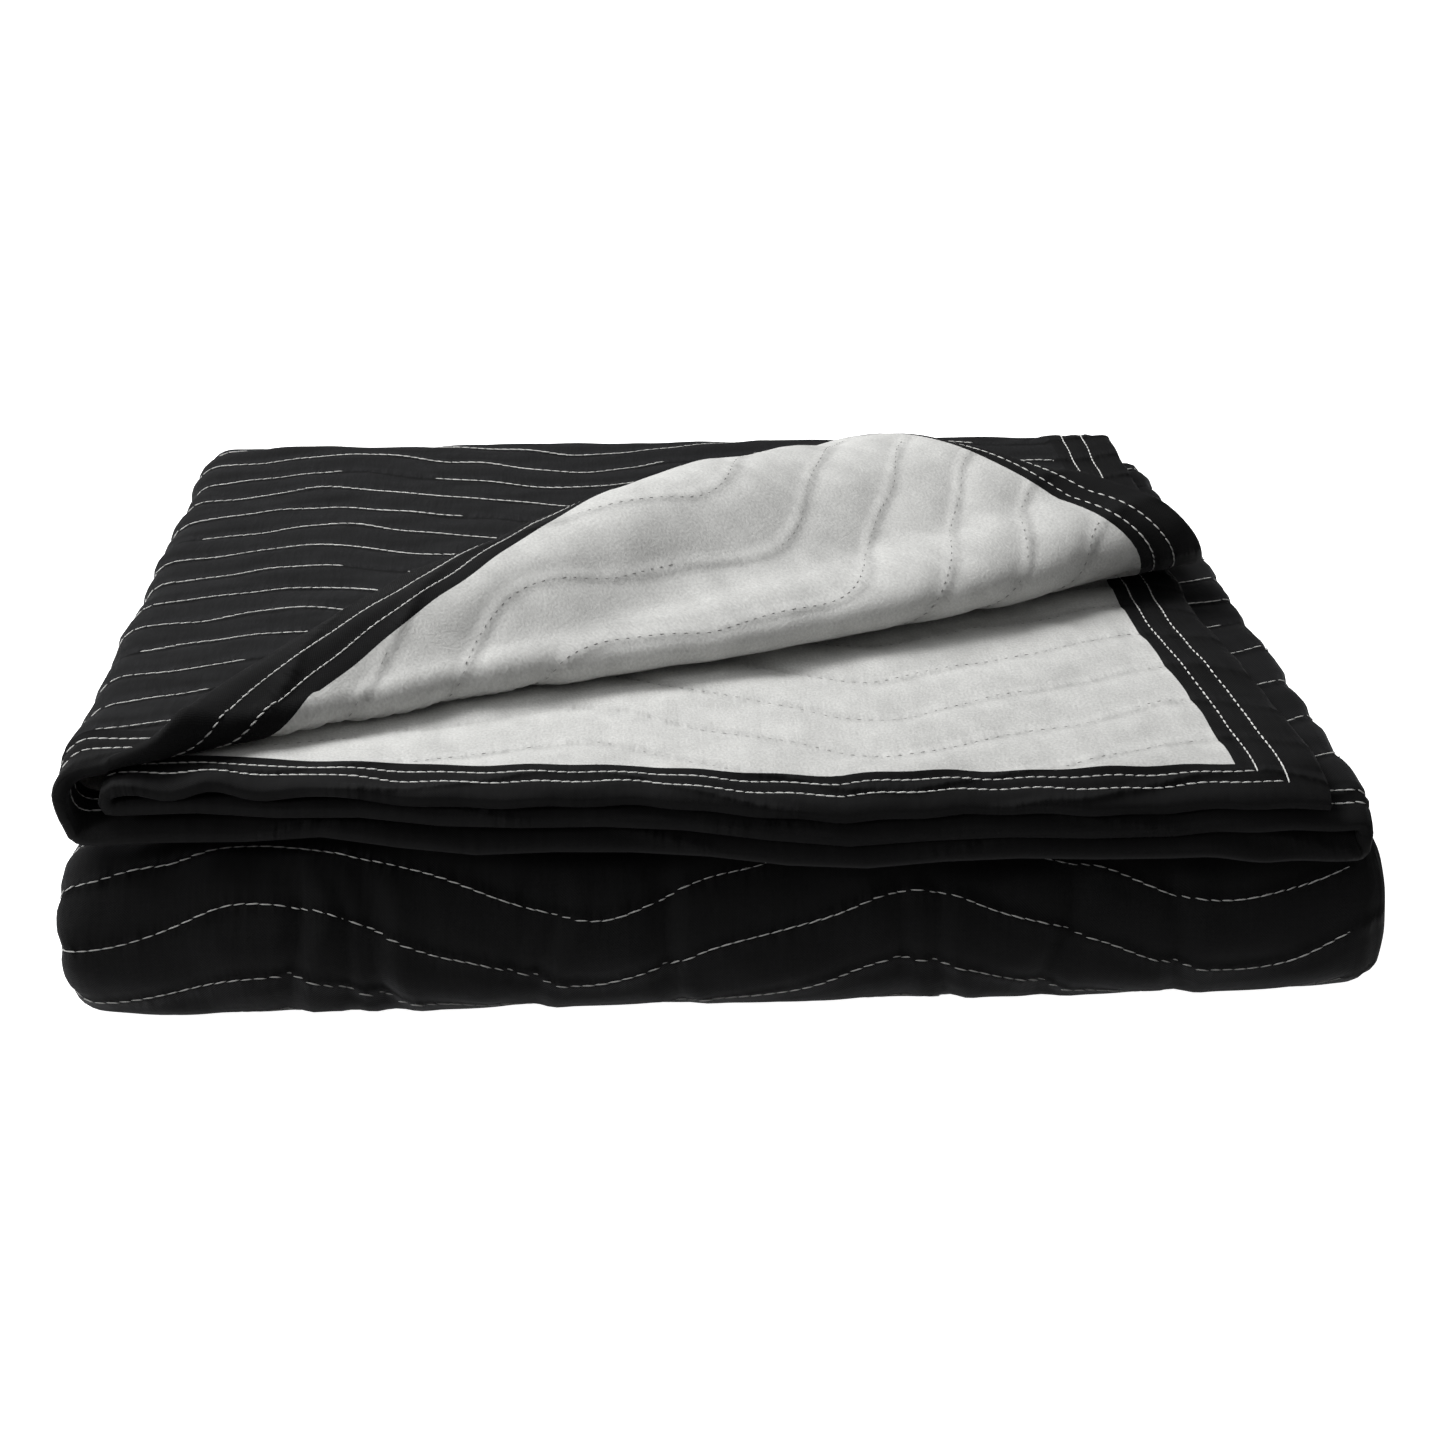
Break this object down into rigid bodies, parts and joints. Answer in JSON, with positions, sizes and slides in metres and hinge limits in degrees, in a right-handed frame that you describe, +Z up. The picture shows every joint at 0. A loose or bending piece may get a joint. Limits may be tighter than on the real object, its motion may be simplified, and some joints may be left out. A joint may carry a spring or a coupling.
{
  "type": "folded moving blanket",
  "caption": "Quilted moving blanket, black on one side and pale felt on the other, folded in quarters both ways with one corner turned back.",
  "frame": {"origin": "bottom centre of the folded stack's bounding box, on the surface it lies on", "axes": "+X to the right along the front edge, +Y from the front to the folded back, +Z up"},
  "size_m": [0.5148, 0.4838, 0.1603],
  "materials": {
    "black_cotton": "matte woven"
  },
  "bodies": {
    "root": {"blanket": "black_cotton"}
  },
  "joints": []
}
